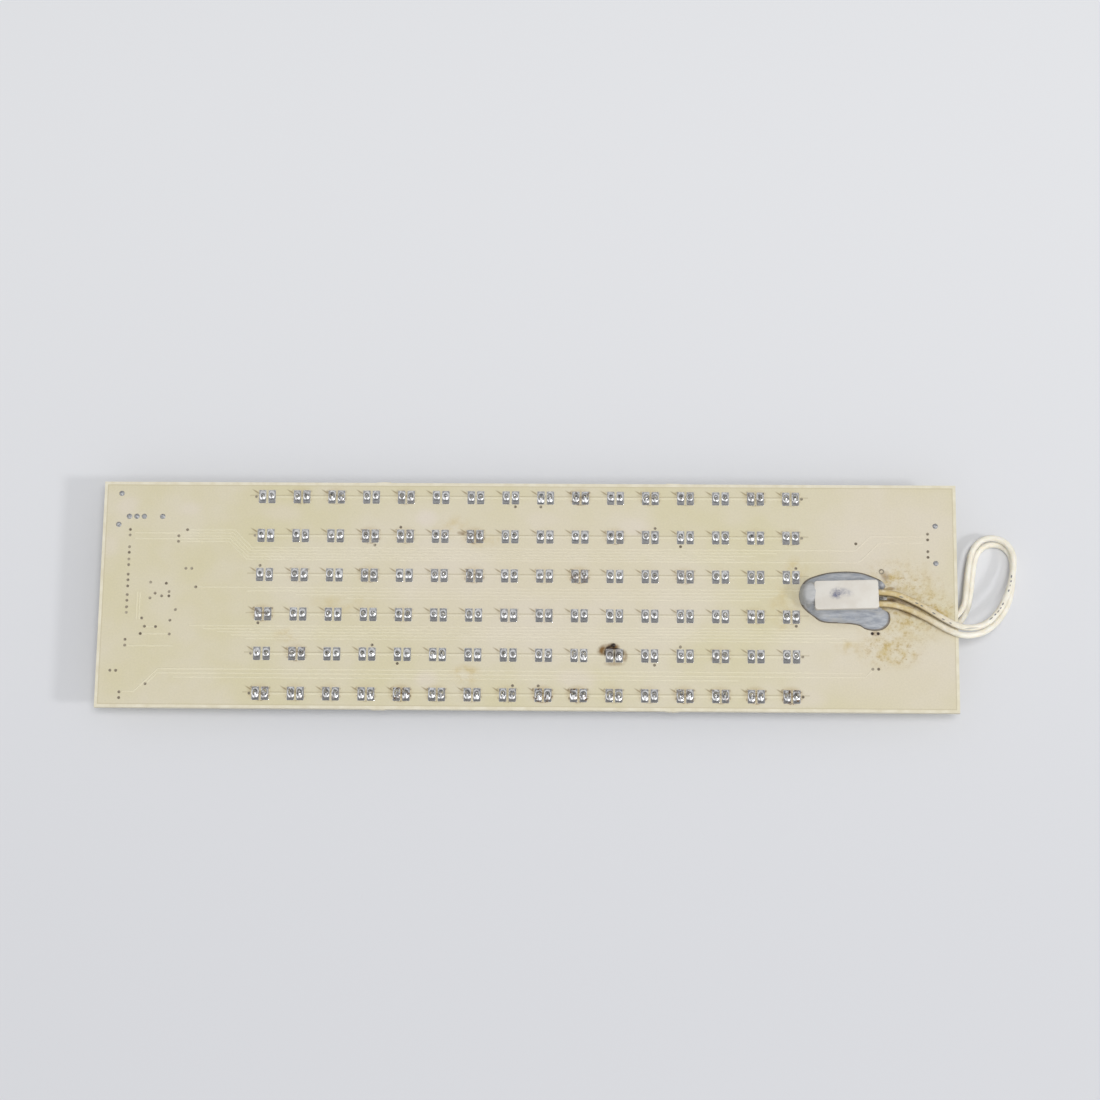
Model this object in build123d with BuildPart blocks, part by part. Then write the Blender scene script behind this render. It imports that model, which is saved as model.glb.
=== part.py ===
from build123d import *
import math
import os

# Lamp grid and the margins of the laminate round it
column_count = 16
row_count = 6
column_pitch = 10.0
row_pitch = 11.5
end_margin = 47.0
side_margin = 4.25
board_thickness = 1.6

# Stubs left on the long edges where the board was snapped out of its panel
snap_length = 4.5
snap_stub = 0.25
snap_share = 0.34

# Lamp: flange, straight barrel and domed tip
lens_sides = 6
lens_diameter = 5.0
lens_height = 8.6
dome_bevel_share = 0.29
flange_diameter = 5.8
flange_height = 1.0

# Soldered lead: tinned pad, fillet and clipped end
lead_spacing = 2.54
lead_width = 0.5
lead_height = 1.9
pad_width = 2.15
pad_length = 3.85
pad_gap = 0.56
fillet_width = 1.2
fillet_length = 2.0
fillet_height = 0.8

# Plated holes: single ones, pairs and those beside a lamp
via_width = 0.7
via_pair_gap = 1.65
via_reach = 3.1
via_rise = 2.65
level_pair_shares = ((0.808, -0.625), (0.808, -0.315), (-0.96, -0.68), (-0.793, 0.225))
upright_pair_shares = ((0.933, 0.54), (0.933, 0.385), (-0.82, 0.49), (-0.943, -0.893))
single_via_shares = ((-0.8, 0.57), (-0.775, 0.06), (-0.883, -0.795), (0.766, 0.476), (-0.935, 0.065))
choke_via_shares = ((-0.9, -0.355), (-0.898, -0.218), (-0.891, -0.291), (-0.865, -0.294),
                    (-0.832, -0.236), (-0.832, -0.358), (-0.82, -0.142))

# Ballast resistors on the lamp side, each beside an upright pair of vias
resistor_length = 3.2
resistor_width = 1.6
resistor_height = 0.6
resistor_via_gap = 3.1
resistor_column_share = -0.935
resistor_row_shares = (0.545, 0.39, 0.28, 0.145, -0.037, -0.145, -0.433)

# Driver chip on the lamp side, with the vias round it in shares of its half sizes
chip_length = 5.0
chip_width = 4.0
chip_height = 1.5
chip_chamfer = 0.4
chip_shares = (-0.859, 0.03)
chip_via_shares = ((-1.08, 1.15), (-1.08, -1.15), (-0.52, -0.45), (0.24, -0.85),
                   (0.72, 1.0), (1.08, -0.2), (1.08, -0.85))

# Supply header on the lamp side: a strip with straight pins
pin_count = 3
pin_pitch = 2.15
pin_width = 0.6
pin_clearance = 0.1
pin_drop = 7.5
strip_width = 2.5
strip_height = 2.5
header_shares = (-0.921, 0.688)

# Solder in the larger plated holes
bump_sides = 6
bump_diameter = 1.5
bump_top_diameter = 0.8
bump_height = 0.45
bump_shares = ((-0.963, 0.615), (-0.959, 0.894), (-0.86, 0.688), (0.951, 0.636), (0.951, 0.306))

# Thermal cut-out: a case open at one end, set askew by hand
cutout_length = 18.0
cutout_width = 8.2
cutout_height = 4.2
cutout_corner = 0.5
cutout_wall = 0.5
cutout_lid = 0.6
cutout_turn = 1.5
cutout_setback = 15.35
cutout_drift = 0.1
seal_depth = 2.4
seal_recess = 0.7
tab_width = 1.0
tab_thickness = 0.3
tab_reach = 3.2
tab_shift = 0.75
tab_drop = 0.6

# Adhesive: a spread bed under the case and a lump against its closed end
bed_floor = 0.4
bed_height = 1.1
bed_reach = 3.8
bed_side = 4.45
bed_shares = ((0.69, 0.3), (0.88, 0.3), (0.84, 0.56), (0.4, 0.86), (-0.3, 0.92), (-0.95, 0.56), (-1.05, -0.05),
              (-0.9, -0.5), (-0.5, -0.88), (0.15, -0.88), (0.5, -1.12), (0.94, -1.06), (0.98, -0.39),
              (0.69, -0.39))
lump_reach = 2.9
lump_width = 7.6
lump_height = 2.9
lump_shift = 0.6
lump_shares = ((0, -1), (0, 1), (-0.5, 0.87), (-0.87, 0.5), (-1, 0), (-0.87, -0.5), (-0.5, -0.87))

# Lead wires: round the open end of the case, over the board's edge, back under it and up to the lamp side
wire_sides = 6
wire_diameter = 1.8
bend_run_share = 0.45
upper_route = [
    (98.66, 0.95, 12.7), (102.5, 1.05, 12.7), (107.5, -0.4, 11.7), (113.0, -3.2, 11.25), (118.0, -6.4, 11.2),
    (123.2, -9.0, 11.3), (129.2, -8.0, 10.0), (133.8, -3.4, 7.7), (136.9, 2.8, 5.6), (138.6, 9.2, 4.3),
    (139.0, 14.6, 3.5), (136.9, 18.2, 3.1), (133.3, 19.7, 3.0), (129.5, 18.8, 3.0), (127.0, 15.6, 3.0),
    (125.9, 10.4, 3.1), (125.2, 4.6, 3.3), (124.6, -0.6, 3.8), (121.6, -4.8, 4.5), (115.6, -6.8, 5.5),
    (108.6, -8.0, 6.8), (103.6, -8.4, 7.5), (100.4, -8.4, 7.5),
]
lower_route = [
    (98.75, -2.4, 12.7), (102.5, -2.3, 12.7), (107.5, -3.4, 11.7), (113.0, -6.0, 11.25), (118.0, -9.0, 11.2),
    (123.2, -11.3, 11.2), (129.4, -9.8, 9.2), (134.2, -5.4, 6.0), (137.4, 0.6, 3.6), (138.7, 7.2, 2.0),
    (138.95, 13.7, 1.15), (137.1, 16.9, 1.1), (133.9, 18.25, 1.1), (130.5, 17.4, 1.1), (128.2, 14.6, 1.1),
    (127.3, 9.6, 1.1), (126.7, 4.2, 1.1), (125.8, -1.2, 1.3), (122.8, -6.2, 2.1), (117.0, -9.2, 3.6),
    (110.2, -11.2, 5.7), (104.4, -12.0, 7.5), (100.4, -12.0, 7.5),
]
wire_joint_length = 2.8
wire_joint_width = 2.6
wire_joint_cover = 0.25
wire_joint_chamfer = 0.7

# Sizes and levels worked out from the values above
board_length = (column_count - 1) * column_pitch + 2 * end_margin
board_width = (row_count - 1) * row_pitch + 2 * side_margin
half_length = board_length / 2
half_width = board_width / 2
board_front = lens_height
board_back = board_front + board_thickness
bump_taper = math.degrees(math.atan((bump_diameter - bump_top_diameter) / 2 / bump_height))
pad_offset = (pad_width + pad_gap) / 2
last_column = column_count - 1


def lamp_x(column):
    return (column - (column_count - 1) / 2) * column_pitch


def lamp_y(row):
    return ((row_count - 1) / 2 - row) * row_pitch


def on_board(shares):
    return [(across * half_length, along * half_width) for across, along in shares]


def facing_front(x, y, depth=0):
    return Plane(origin=(x, y, board_front - depth), x_dir=(1, 0, 0), z_dir=(0, 0, -1))


def save(part, name):
    part.label = name
    export_step(part, f"parts/{name}.step")


def bend_radii(route):
    radii = []
    for before, here, after in zip(route, route[1:], route[2:]):
        arriving = Vector(here) - Vector(before)
        leaving = Vector(after) - Vector(here)
        half_turn = math.radians(arriving.get_angle(leaving)) / 2
        shorter_run = min(arriving.length, leaving.length)
        radii.append(bend_run_share * shorter_run / math.tan(half_turn))
    return radii


# Places of the plated holes
resistor_vias = [(resistor_column_share * half_length, row * half_width) for row in resistor_row_shares]
upright_pairs = on_board(upright_pair_shares) + resistor_vias
level_pairs = on_board(level_pair_shares)
chip_x, chip_y = on_board([chip_shares])[0]
chip_vias = [(chip_x + across * chip_length / 2, chip_y + along * chip_width / 2)
             for across, along in chip_via_shares]
quarter_vias = [
    (lamp_x(last_column) + via_reach, lamp_y(0)),
    (lamp_x(last_column) + via_reach, lamp_y(1)),
    (lamp_x(last_column) + pad_offset, lamp_y(2) + via_rise),
    (lamp_x(last_column - 3) - pad_offset, lamp_y(1) - via_rise),
    (lamp_x(last_column - 4) + pad_offset, lamp_y(1) + via_rise),
    (lamp_x(last_column - 7) - pad_offset, lamp_y(0) - via_rise),
]
lamp_vias = [(side * x, end * y) for side in (1, -1) for end in (1, -1) for x, y in quarter_vias]
single_vias = on_board(single_via_shares) + on_board(choke_via_shares) + chip_vias + lamp_vias
header_x, header_y = on_board([header_shares])[0]

os.makedirs("parts", exist_ok=True)

# Laminate with its plated holes and the stubs of its panel tabs
with BuildPart() as circuit_board:
    with BuildSketch(Plane.XY.offset(board_front)):
        Rectangle(board_length, board_width)
        with GridLocations(2 * snap_share * half_length, board_width, 2, 2):
            Rectangle(snap_length, 2 * snap_stub)
        with Locations(*single_vias):
            Rectangle(via_width, via_width, mode=Mode.SUBTRACT)
        with Locations(*level_pairs):
            with GridLocations(via_pair_gap, 0, 2, 1):
                Rectangle(via_width, via_width, mode=Mode.SUBTRACT)
        with Locations(*upright_pairs):
            with GridLocations(0, via_pair_gap, 1, 2):
                Rectangle(via_width, via_width, mode=Mode.SUBTRACT)
        with Locations((header_x, header_y)):
            with GridLocations(pin_pitch, 0, pin_count, 1):
                Rectangle(pin_width + 2 * pin_clearance, pin_width + 2 * pin_clearance, mode=Mode.SUBTRACT)
    extrude(amount=board_thickness)
save(circuit_board.part, "circuit_board")

# One lamp, its tip bevelled towards the dome, and the rows of them
with BuildPart() as lamp:
    with BuildSketch(facing_front(0, 0)):
        RegularPolygon(lens_diameter / 2, lens_sides, major_radius=False)
    extrude(amount=lens_height)
    chamfer(lamp.faces().sort_by(Axis.Z)[0].edges(), dome_bevel_share * lens_diameter)
    with BuildSketch(facing_front(0, 0)):
        RegularPolygon(flange_diameter / 2, lens_sides, major_radius=False)
    extrude(amount=flange_height)

for row in range(row_count):
    with BuildPart() as led_row:
        with Locations((0, lamp_y(row), 0)):
            with GridLocations(column_pitch, 0, column_count, 1):
                add(lamp.part)
    save(led_row.part, f"led_row_{row + 1}")

# Two soldered leads of one lamp: the pad narrows to a fillet and then to the clipped lead
lead_x = lead_spacing / 2
lead_half = lead_width / 2
with BuildPart() as joint_pair:
    with BuildSketch(Plane.XZ):
        with BuildLine():
            Polyline(
                (pad_gap / 2, 0),
                (pad_gap / 2 + pad_width, 0),
                (lead_x + fillet_width / 2, fillet_height),
                (lead_x + lead_half, lead_height),
                (lead_x - lead_half, lead_height),
                (lead_x - fillet_width / 2, fillet_height),
                close=True,
            )
        make_face()
    extrude(amount=pad_length / 2, both=True)
    with BuildSketch(Plane.YZ):
        with BuildLine():
            Polyline(
                (-pad_length / 2, 0),
                (pad_length / 2, 0),
                (fillet_length / 2, fillet_height),
                (lead_half, lead_height),
                (-lead_half, lead_height),
                (-fillet_length / 2, fillet_height),
                close=True,
            )
        make_face()
    extrude(amount=pad_gap + pad_width, mode=Mode.INTERSECT)
    mirror(about=Plane.YZ)

for row in range(row_count):
    with BuildPart() as solder_row:
        with Locations((0, lamp_y(row), board_back)):
            with GridLocations(column_pitch, 0, column_count, 1):
                add(joint_pair.part)
    save(solder_row.part, f"solder_row_{row + 1}")

# Case of the thermal cut-out, with a pocket in its open end
cutout_x = lamp_x(last_column) + cutout_setback
cutout_base = Plane(Location((cutout_x, -cutout_drift, board_back + bed_floor), (0, 0, cutout_turn)))
bed_base = cutout_base.offset(-bed_floor)
open_end = Plane(
    origin=cutout_base.from_local_coords((cutout_length / 2, 0, cutout_height / 2)),
    x_dir=cutout_base.y_dir,
    z_dir=cutout_base.x_dir,
)
seal_face = open_end.offset(-seal_recess)
pocket_width = cutout_width - 2 * cutout_wall
pocket_height = cutout_height - 2 * cutout_lid

with BuildPart() as cutout_case:
    with BuildSketch(cutout_base) as case_outline:
        Rectangle(cutout_length, cutout_width)
        chamfer(case_outline.vertices(), cutout_corner)
    extrude(amount=cutout_height)
    with BuildSketch(open_end):
        Rectangle(pocket_width, pocket_height)
    extrude(amount=-(seal_recess + seal_depth), mode=Mode.SUBTRACT)
save(cutout_case.part, "cutout_case")

with BuildPart() as cutout_seal:
    with BuildSketch(seal_face):
        Rectangle(pocket_width, pocket_height)
    extrude(amount=-seal_depth)
save(cutout_seal.part, "cutout_seal")

with BuildPart() as cutout_tab:
    with BuildSketch(seal_face):
        with Locations((-tab_shift, -tab_drop)):
            Rectangle(tab_width, tab_thickness)
    extrude(amount=tab_reach)
save(cutout_tab.part, "cutout_tab")

# Adhesive round the case, with a gap where the wires leave it
bed_half_length = cutout_length / 2 + bed_reach
bed_half_width = cutout_width / 2 + bed_side
bed_points = [(across * bed_half_length, along * bed_half_width) for across, along in bed_shares]
bed_radii = bend_radii(bed_points[-1:] + bed_points + bed_points[:1])
lump_points = [(across * lump_reach - cutout_length / 2, along * lump_width / 2 + lump_shift)
               for across, along in lump_shares]

with BuildPart() as adhesive_bed:
    with BuildSketch(bed_base):
        with BuildLine():
            FilletPolyline(*bed_points, radius=bed_radii, close=True)
        make_face()
    extrude(amount=bed_height)
    with BuildSketch(bed_base):
        with BuildLine():
            Polyline(*lump_points, close=True)
        make_face()
    extrude(amount=lump_height + bed_floor)
    with BuildSketch(cutout_base):
        add(case_outline.sketch_local)
    extrude(amount=cutout_height, mode=Mode.SUBTRACT)
save(adhesive_bed.part, "adhesive_bed")

# Lead wires and the solder that ends them on the lamp side
for name, route in (("upper", upper_route), ("lower", lower_route)):
    radii = bend_radii(route)
    print(f"wire_{name} bend radii:", [round(radius, 1) for radius in radii])
    with BuildPart() as wire:
        with BuildLine() as path:
            FilletPolyline(*route, radius=radii)
        with BuildSketch(Plane(origin=path.line @ 0, z_dir=path.line % 0)):
            RegularPolygon(wire_diameter / 2, wire_sides)
        sweep()
    wire_length = sum(edge.length for edge in path.edges())
    print(f"wire_{name} length:", round(wire_length, 2), "volume share:", round(wire.part.volume / wire_length, 3))
    save(wire.part, f"wire_{name}")

    end_x, end_y, end_z = route[-1]
    solder_depth = board_front - end_z + wire_diameter / 2 + wire_joint_cover
    with BuildPart() as wire_joint:
        with BuildSketch(facing_front(end_x, end_y)):
            Rectangle(wire_joint_length, wire_joint_width, align=(Align.MAX, Align.CENTER))
        extrude(amount=solder_depth)
        chamfer(wire_joint.faces().sort_by(Axis.X)[0].edges().sort_by(Axis.Z)[0], wire_joint_chamfer)
    save(wire_joint.part, f"wire_joint_{name}")

# Supply header: strip, pins through the board and their solder on the back
with BuildPart() as supply_header:
    with BuildSketch(facing_front(header_x, header_y)):
        Rectangle(pin_count * pin_pitch, strip_width)
        with GridLocations(pin_pitch, 0, pin_count, 1):
            Rectangle(pin_width, pin_width, mode=Mode.SUBTRACT)
    extrude(amount=strip_height)
save(supply_header.part, "supply_header")

with BuildPart() as supply_pins:
    with BuildSketch(facing_front(header_x, header_y, -board_thickness)):
        with GridLocations(pin_pitch, 0, pin_count, 1):
            Rectangle(pin_width, pin_width)
    extrude(amount=board_thickness + pin_drop)
save(supply_pins.part, "supply_pins")

with BuildPart() as supply_solder:
    with BuildSketch(Plane((header_x, header_y, board_back))):
        with GridLocations(pin_pitch, 0, pin_count, 1):
            RegularPolygon(bump_diameter / 2, bump_sides, major_radius=False)
    extrude(amount=bump_height, taper=bump_taper)
save(supply_solder.part, "supply_solder")

with BuildPart() as test_points:
    with BuildSketch(Plane.XY.offset(board_back)):
        with Locations(*on_board(bump_shares)):
            RegularPolygon(bump_diameter / 2, bump_sides, major_radius=False)
    extrude(amount=bump_height, taper=bump_taper)
save(test_points.part, "test_points")

# Ballast resistors and driver chip on the lamp side
for number, (via_x, via_y) in enumerate(resistor_vias, start=1):
    with BuildPart() as ballast_resistor:
        with BuildSketch(facing_front(via_x + resistor_via_gap, via_y)):
            Rectangle(resistor_length, resistor_width)
        extrude(amount=resistor_height)
    save(ballast_resistor.part, f"ballast_resistor_{number}")

with BuildPart() as driver_chip:
    with BuildSketch(facing_front(chip_x, chip_y)):
        Rectangle(chip_length, chip_width)
    extrude(amount=chip_height)
    chamfer(driver_chip.faces().sort_by(Axis.Z)[0].edges(), chip_chamfer)
save(driver_chip.part, "driver_chip")
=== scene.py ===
import math
import random

import bmesh
import bpy
from mathutils import Matrix, Vector, noise


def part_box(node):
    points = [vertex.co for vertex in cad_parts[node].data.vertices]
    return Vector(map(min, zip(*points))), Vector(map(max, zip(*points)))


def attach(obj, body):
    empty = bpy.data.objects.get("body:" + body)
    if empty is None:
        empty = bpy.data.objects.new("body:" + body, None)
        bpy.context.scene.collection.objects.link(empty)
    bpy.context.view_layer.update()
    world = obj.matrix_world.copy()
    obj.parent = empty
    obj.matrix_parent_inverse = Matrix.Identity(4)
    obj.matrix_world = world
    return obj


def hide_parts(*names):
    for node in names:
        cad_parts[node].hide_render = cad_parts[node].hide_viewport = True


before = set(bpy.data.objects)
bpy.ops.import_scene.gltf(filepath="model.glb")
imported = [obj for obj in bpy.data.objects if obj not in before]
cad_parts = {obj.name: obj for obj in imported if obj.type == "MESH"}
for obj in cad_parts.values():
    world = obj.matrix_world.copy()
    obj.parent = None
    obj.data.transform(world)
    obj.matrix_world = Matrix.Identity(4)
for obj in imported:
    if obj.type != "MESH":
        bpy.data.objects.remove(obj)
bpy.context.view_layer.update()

scene = bpy.context.scene
scene.view_settings.view_transform = "Standard"
chance = random.Random(11)
noise.seed_set(11)

# Lengths are in millimetres, and a mesh is scaled to metres when it becomes a piece
MM = 0.001


def node_box(name):
    low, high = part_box(name)
    return low / MM, high / MM


# Board and lamp grid, read from the frame where it has them
column_count = 16
row_count = 6
column_pitch = 10.0
row_pitch = 11.5
grid_half = column_count * column_pitch / 2
snap_stub = 0.25
snap_ragged = (0.35, 1.0)
snap_length = 4.5
snap_steps = 12
snap_x = 41.48
board_low, board_high = node_box("circuit_board")
front_z = board_low.z
back_z = board_high.z
half_length = board_high.x
half_width = board_high.y - snap_stub
corner_signs = ((-1, -1), (1, -1), (1, 1), (-1, 1))

# Solder mask, rims of the plated holes and the solder that fills them
border = 0.85
mask_height = 0.03
mask_clearance = 0.02
hole_sides = 20
ring_width = 0.08
ring_wall = 0.14
ring_height = 0.06
ring_depth = 0.4
ring_slope = 0.05
ring_round = 0.08
plug_press = 0.02
plug_bottom = -0.3
plug_level = -0.12
plug_dip = -0.15
plug_middle = (0.04, -0.16)
lone_ring = (100.6, 7.6)
lone_ring_profile = [(0.4, 0.0), (0.8, 0.0), (0.74, 0.07), (0.48, 0.07)]

# Traces: straight ones along the board as y, left end and right end, and the others as their points
trace_height = 0.07
trace_width = 0.5
row_trace_width = 0.8
straight_traces = [
    (2.0, -93.8, 78.0), (1.0, -79.8, 74.0), (0.0, -65.8, 70.0), (-1.0, -51.8, 66.0), (-9.2, -96.0, 76.0),
    (-10.1, -92.0, 81.0), (-11.0, -88.0, 86.0), (-11.9, -84.0, 91.0), (-12.9, -80.0, 96.0),
    (-24.2, -100.0, 60.0), (-9.65, -108.2, -106.0), (-11.75, -109.2, -102.0), (-15.2, -113.4, -100.4),
]
other_traces = [
    [(-97.0, 18.8), (-84.0, 18.8), (-78.9, 13.7), (93.3, 13.7), (97.5, 17.9), (112.9, 17.9)],
    [(-112.6, 17.9), (-84.37, 17.9), (-79.27, 12.8), (71.0, 12.8)],
    [(-99.4, 17.0), (-84.74, 17.0), (-79.64, 11.9), (65.0, 11.9)],
    [(-112.6, 16.2), (-85.11, 16.2), (-79.91, 11.0), (59.0, 11.0)],
    [(-99.4, 15.4), (-85.48, 15.4), (-80.28, 10.2), (94.2, 10.2), (100.1, 16.1), (112.9, 16.1)],
    [(-114.2, -28.4), (-110.9, -28.4), (-104.3, -21.8), (94.8, -21.8)],
    [(-107.2, -25.8), (-104.4, -23.0), (95.6, -23.0), (97.4, -21.2)],
    [(-111.2, 0.5), (-111.2, -7.6)],
    [(-110.4, 0.5), (-110.4, -7.6)],
]

# Solder joints of the lamps
lead_offset = 1.27
pad_offset = 1.355
pad_width = 2.15
pad_length = 3.95
pad_corner = 0.24
pad_height = 0.1
corner_steps = 4
side_step = 0.42
stub_height = 1.9
lead_radius = 0.3
lead_share = 0.22
dent_depth = 0.1
slant_start = 0.8

# Rings of a joint, from its rim in to its lead, with their share of its height
pad_rings = [(1.0, 0.0), (0.99, 0.5), (0.965, 0.85)]
pad_rings += [(share, 1.0) for share in (0.92, 0.84, 0.74, 0.63, 0.52, 0.41, 0.3, 0.2, 0.1, 0.0)]

# Rings of a clipped lead, from the fillet up, with their share of its width
lead_rings = [(0.5, 0.98), (0.86, 0.94), (1.0, 0.78)]

# Ranges that each joint is drawn from; one with more solder has three of its own
lead_play = ((-0.08, 0.08), (0.1, 0.35))
lead_lean = ((-0.14, 0.14), (-0.16, 0.1))
lead_slant = ((-0.4, 0.1), (0.0, 0.5))
lead_top = (1.35, 1.85)
spread_across = (0.95, 1.15)
spread_above = (1.35, 1.75)
plain_joint = {"fullness": (0.0, 0.35), "crest": (0.45, 0.7), "spread_below": (1.05, 1.6)}
heavy_joint = {"fullness": (0.3, 0.6), "crest": (0.6, 0.85), "spread_below": (1.6, 2.1)}
heavy_places = {(0, 2), (0, 8), (0, 9), (0, 11), (0, 15), (4, 5), (4, 9), (4, 10)}

# Solder in the larger holes, as radius and height
dome_profile = [
    (0.8, 0.0), (0.78, 0.05), (0.66, 0.14), (0.52, 0.28), (0.4, 0.38), (0.26, 0.43), (0.08, 0.45),
]
dome_sides = 24

# Lamps: the lens, its lead frame and the phosphor in its cup
lens_radius = 2.5
lens_sides = 32
lens_rings = 9
lens_tip = 0.12
flange_radius = 2.9
flange_height = 1.0
flange_flat = 2.6
flange_round = 0.12
flange_bevel = 0.15
neck_width = 0.08
neck_height = 0.1
anvil_outline = [(-1.52, 0.0), (-1.02, 0.0), (-1.02, 2.2), (0.25, 3.6), (0.25, 4.6), (-1.52, 4.6)]
post_outline = [(1.02, 0.0), (1.52, 0.0), (1.52, 4.4), (0.5, 4.4), (0.5, 3.9), (1.02, 3.0)]
blade_thickness = 0.5
cup_x = -0.35
cup_depth = 4.4
cup_profile = [(0.55, 0.0), (0.85, 0.75), (0.75, 0.75), (0.5, 0.4)]
phosphor_profile = [(0.48, 0.35), (0.72, 0.7), (0.35, 0.82)]
cup_sides = 20

# Lead wires of the thermal cut-out
wire_diameter = 1.8
upper_route = [
    (98.66, 0.95, 12.7), (102.5, 1.05, 12.7), (107.5, -0.4, 11.7), (113.0, -3.2, 11.25), (118.0, -6.4, 11.2),
    (123.2, -9.0, 11.3), (129.2, -8.0, 10.0), (133.8, -3.4, 7.7), (136.9, 2.8, 5.6), (138.6, 9.2, 4.3),
    (139.0, 14.6, 3.5), (136.9, 18.2, 3.1), (133.3, 19.7, 3.0), (129.5, 18.8, 3.0), (127.0, 15.6, 3.0),
    (125.9, 10.4, 3.1), (125.2, 4.6, 3.3), (124.6, -0.6, 3.8), (121.6, -4.8, 4.5), (115.6, -6.8, 5.5),
    (108.6, -8.0, 6.8), (103.6, -8.4, 7.5), (100.4, -8.4, 7.5),
]
lower_route = [
    (98.75, -2.4, 12.7), (102.5, -2.3, 12.7), (107.5, -3.4, 11.7), (113.0, -6.0, 11.25), (118.0, -9.0, 11.2),
    (123.2, -11.3, 11.2), (129.4, -9.8, 9.2), (134.2, -5.4, 6.0), (137.4, 0.6, 3.6), (138.7, 7.2, 2.0),
    (138.95, 13.7, 1.15), (137.1, 16.9, 1.1), (133.9, 18.25, 1.1), (130.5, 17.4, 1.1), (128.2, 14.6, 1.1),
    (127.3, 9.6, 1.1), (126.7, 4.2, 1.1), (125.8, -1.2, 1.3), (122.8, -6.2, 2.1), (117.0, -9.2, 3.6),
    (110.2, -11.2, 5.7), (104.4, -12.0, 7.5), (100.4, -12.0, 7.5),
]

# Thermal cut-out and the adhesive that holds it
cutout_centre = Vector((90.35, -0.1))
cutout_turn = math.radians(1.5)
cutout_half = Vector((9.0, 4.1))
bed_outline = [
    (77.2, 0.4), (77.7, 3.0), (79.2, 5.0), (81.8, 6.2), (85.0, 7.1), (88.5, 7.5), (92.0, 7.55), (95.4, 7.1),
    (98.4, 6.0), (100.4, 5.0), (101.6, 3.6), (101.2, 2.6), (100.0, 1.4), (99.8, -1.6), (100.6, -3.6),
    (102.3, -4.1), (102.9, -5.6), (102.5, -7.6), (100.8, -9.2), (98.4, -9.6), (96.0, -9.2), (94.2, -8.2),
    (91.6, -7.7), (88.4, -7.5), (85.4, -7.4), (83.0, -6.9), (81.0, -5.4), (79.2, -4.0), (77.8, -2.2),
]
bed_sides = 180
bed_rings = 44
bed_crowding = 0.8
bed_height = 1.05
bed_floor = 0.38
bed_least = 0.07
hidden_depth = 1.2
rim_start = 0.8
rim_reach = 0.155
streak_height = 0.16
streak_scale = (0.5, 2.2)
ripple_height = 0.1
ripple_scale = (1.3, 1.5)
ripple_layer = 5.0
climb_height = 0.8
climb_below = 1.9
climb_reach = 0.6

# Lumps of the adhesive in the case's own axes: x, y, reach along x and y, and height
bed_lumps = [(-10.1, 0.9, 2.75, 3.7, 4.8), (10.2, 3.3, 1.2, 1.3, 2.3), (2.0, -5.9, 8.0, 1.3, 1.35)]

# Bead of burnt flux, a dome from one angle of its round side to another
bead_centre = (24.75, -14.35)
bead_radius = 0.62
bead_height = 0.95
bead_angles = (-35, 88)
bead_rings = 9
bead_sides = 28
bead_grain = 1.3
bead_wander = 0.12

# Small parts on the lamp side
resistor_count = 7
cap_length = 0.45
cap_round = 0.08
body_start = 0.36
body_inset = 0.03
body_round = 0.05
terminal_count = 6
terminal_width = 0.3
terminal_reach = 0.12
terminal_height = 0.5
terminal_round = 0.04
dot_inset = 1.0
dot_sink = 0.01
dot_profile = [(0.28, 0.0), (0.28, 0.04), (0.2, 0.05)]
dot_sides = 20

# Limits for welding meshes, and for telling flat, sharp and upright faces in those of the CAD
weld_distance = 0.0005
flat_angle = math.radians(1)
edge_angle = math.radians(30)
upright_slope = 0.1

# Stains and marks, seen from above: x, y, radius across, radius along, turn and strength
cutout_stains = [
    (106, -2, 17, 17, 0, 0.8), (104, 5, 7, 5, 0, 1.0), (115, -4, 9, 8, -25, 1.0), (103, -15, 12, 7, 0, 0.9),
]
amber_stains = cutout_stains + [
    (91, -14.5, 5, 3, 0, 0.6), (-17, -23, 6, 4, 0, 0.7), (-22, 20, 7, 4, 20, 0.45), (76, 8, 5, 5, 0, 0.55),
    (73, -3, 6, 10, 0, 0.45), (-12, 16, 9, 4, 0, 0.35), (-68, -12, 5, 3, 0, 0.45), (-52, -3, 14, 4, 0, 0.35),
]
pale_stains = [
    (-29, 22.5, 5, 4, 0, 0.9), (-115, 26, 5, 4, 30, 0.6), (-120, 14, 4, 5, 0, 0.5),
    (-28, -24.5, 5, 4, 0, 0.7), (14, -24, 9, 5, 0, 0.7), (30, 20, 8, 5, 0, 0.6), (4, 22, 9, 5, 0, 0.5),
    (-70, 24, 8, 4, 0, 0.4), (-97, 25, 5, 3, 0, 0.5), (80, -29, 10, 4, 0, 0.4), (0, 3, 78, 34, 0, 0.5),
    (104, 15, 34, 27, 0, 0.6), (104, -21, 34, 19, 0, 0.55),
]
brown_stains = [
    (103.5, -0.6, 3.6, 0.9, -4, 0.85), (109.5, -2.4, 5.0, 0.6, -26, 0.6), (107.0, -3.9, 5.0, 0.5, -18, 0.7),
    (114.0, -6.5, 5.0, 0.5, -30, 0.55), (101.6, 6.2, 1.6, 2.2, 20, 0.5), (89.0, -0.7, 14.4, 9.5, 0, 0.55),
    (98.7, -10.4, 1.9, 1.0, 0, 0.6), (22.2, -15.6, 2.7, 2.0, 25, 1.0), (24.4, -14.7, 2.6, 1.4, 0, 1.0),
    (25.0, -19.5, 3.8, 1.1, 0, 0.5), (27.9, -17.4, 1.2, 2.3, 0, 0.6), (-19.0, 18.2, 1.6, 0.8, -10, 0.6),
    (105.0, -1.2, 4.6, 1.3, -10, 0.7), (108.5, -5.0, 4.2, 0.6, -20, 0.5), (102.8, 2.6, 2.2, 0.7, 10, 0.6),
]
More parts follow.
